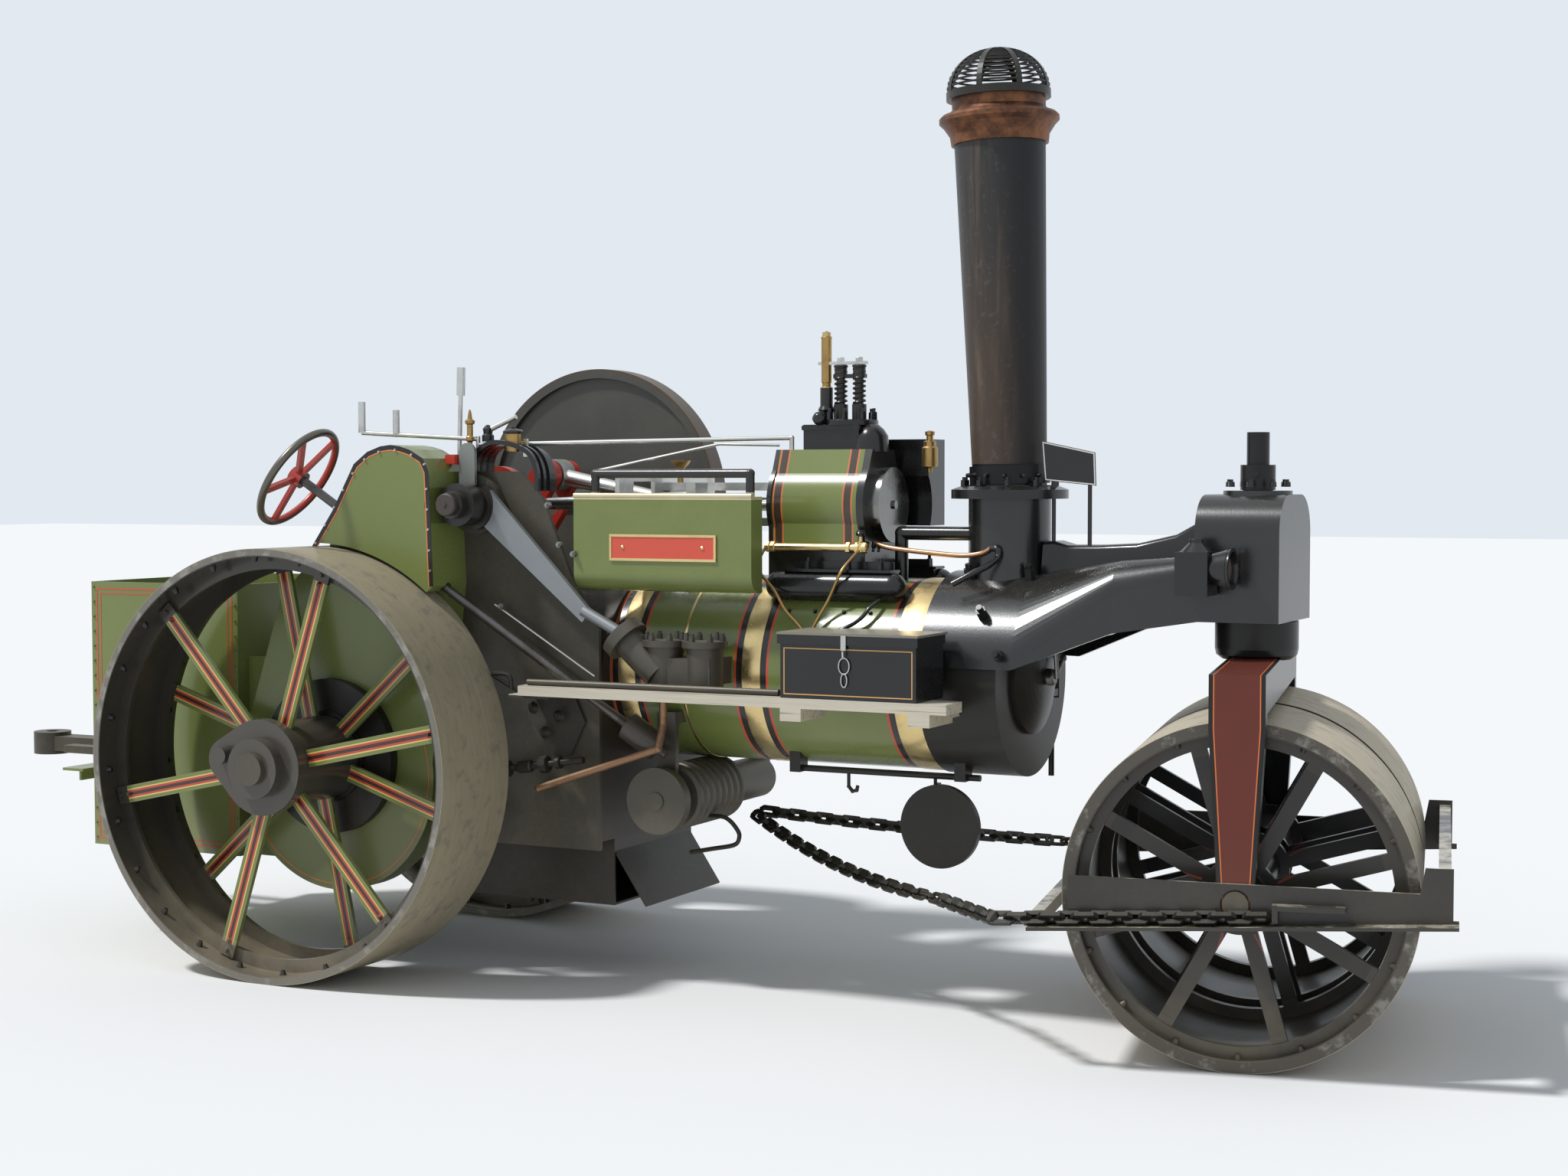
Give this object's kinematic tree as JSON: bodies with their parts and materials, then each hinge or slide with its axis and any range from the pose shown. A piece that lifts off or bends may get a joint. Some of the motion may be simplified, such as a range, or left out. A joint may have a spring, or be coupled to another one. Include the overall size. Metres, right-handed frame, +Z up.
{
  "type": "steam road roller",
  "caption": "Steam road roller with twin front rolls in a steered fork, horizontal boiler, overhead single cylinder, side flywheel and coal tender.",
  "frame": {"origin": "on the ground, under the middle of the machine's length and width", "axes": "+X forward to the front rolls, +Y to the left side, +Z up"},
  "size_m": [5.943, 1.97, 3.1953],
  "materials": {
    "olive_paint": "gloss paint, dusty",
    "black_paint": "gloss paint",
    "maroon_paint": "gloss paint",
    "red_paint": "gloss paint",
    "chimney_paint": "heat worn paint",
    "copper_cap": "oxidised copper",
    "bright_steel": "oiled bright steel",
    "dusty_iron": "worn and dusty",
    "plank_wood": "weathered",
    "copper_pipe": "polished"
  },
  "bodies": {
    "engine": {"boiler_barrel": "olive_paint", "firebox": "black_paint", "hornplates": "black_paint", "ash_pan": "dusty_iron", "smokebox": "black_paint", "saddle_headstock": "black_paint", "chimney_base": "black_paint", "chimney": "chimney_paint", "chimney_cap": "copper_cap", "spark_arrester": "bright_steel", "headlamp": "dusty_iron", "cylinder": "olive_paint", "cylinder_cover": "bright_steel", "steam_chest": "black_paint", "safety_valves": "black_paint", "exhaust_pipe": "black_paint", "crosshead_guides": "bright_steel", "connecting_rod": "bright_steel", "valve_gear": "bright_steel", "gear_guard": "olive_paint", "differential_drum": "black_paint", "rear_axle": "dusty_iron", "tender": "olive_paint", "drawbar": "black_paint", "motion_guard": "olive_paint", "toolbox": "black_paint", "tool_shelf": "plank_wood", "fire_irons": "dusty_iron", "feed_pump": "dusty_iron", "pump_rod": "bright_steel", "steering_column": "red_paint", "chain_barrel": "dusty_iron", "steering_chains": "dusty_iron", "boiler_rail": "black_paint", "hanging_pan": "dusty_iron", "pipework": "copper_pipe", "control_levers": "bright_steel"},
    "smokebox_door": {"smokebox_door": "black_paint"},
    "firehole_door": {"firehole_door": "black_paint"},
    "toolbox_lid": {"toolbox_lid": "black_paint"},
    "crankshaft": {"crankshaft": "bright_steel", "flywheel": "black_paint"},
    "fork": {"fork": "maroon_paint", "front_axle": "dusty_iron", "scraper_frame": "dusty_iron", "fork_chains": "dusty_iron"},
    "right_front_roll": {"right_front_roll": "dusty_iron"},
    "left_front_roll": {"left_front_roll": "dusty_iron"},
    "right_rear_wheel": {"right_rear_wheel": "olive_paint"},
    "left_rear_wheel": {"left_rear_wheel": "olive_paint"}
  },
  "joints": [
    {"name": "right_rear_wheel_turn", "type": "hinge", "parent": "engine", "child": "right_rear_wheel", "pos_m": [-1.0665, -0.715, 0.762], "axis": [0, 1, 0], "continuous": true},
    {"name": "left_rear_wheel_turn", "type": "hinge", "parent": "engine", "child": "left_rear_wheel", "pos_m": [-1.0665, 0.715, 0.762], "axis": [0, 1, 0], "continuous": true},
    {"name": "crankshaft_turn", "type": "hinge", "parent": "engine", "child": "crankshaft", "pos_m": [-0.4955, 0, 1.674], "axis": [0, 1, 0], "continuous": true},
    {"name": "fork_steer", "type": "hinge", "parent": "engine", "child": "fork", "pos_m": [2.2025, 0, 1.3], "axis": [0, 0, 1], "range_deg": [-33, 11]},
    {"name": "right_front_roll_turn", "type": "hinge", "parent": "fork", "child": "right_front_roll", "pos_m": [2.26547, -0.32394, 0.525], "axis": [-0.1908, 0.9816, 0], "continuous": true},
    {"name": "left_front_roll_turn", "type": "hinge", "parent": "fork", "child": "left_front_roll", "pos_m": [2.13953, 0.32394, 0.525], "axis": [-0.1908, 0.9816, 0], "continuous": true},
    {"name": "smokebox_door_open", "type": "hinge", "parent": "engine", "child": "smokebox_door", "pos_m": [1.4505, 0.209, 1.105], "axis": [0, 0, 1], "range_deg": [0, 80]},
    {"name": "firehole_door_open", "type": "hinge", "parent": "engine", "child": "firehole_door", "pos_m": [-0.6925, 0.177, 1.06], "axis": [0, 0, 1], "range_deg": [-100, 0]},
    {"name": "toolbox_lid_open", "type": "hinge", "parent": "engine", "child": "toolbox_lid", "pos_m": [1.0375, -0.371, 1.232], "axis": [1, 0, 0], "range_deg": [-100, 0]}
  ]
}
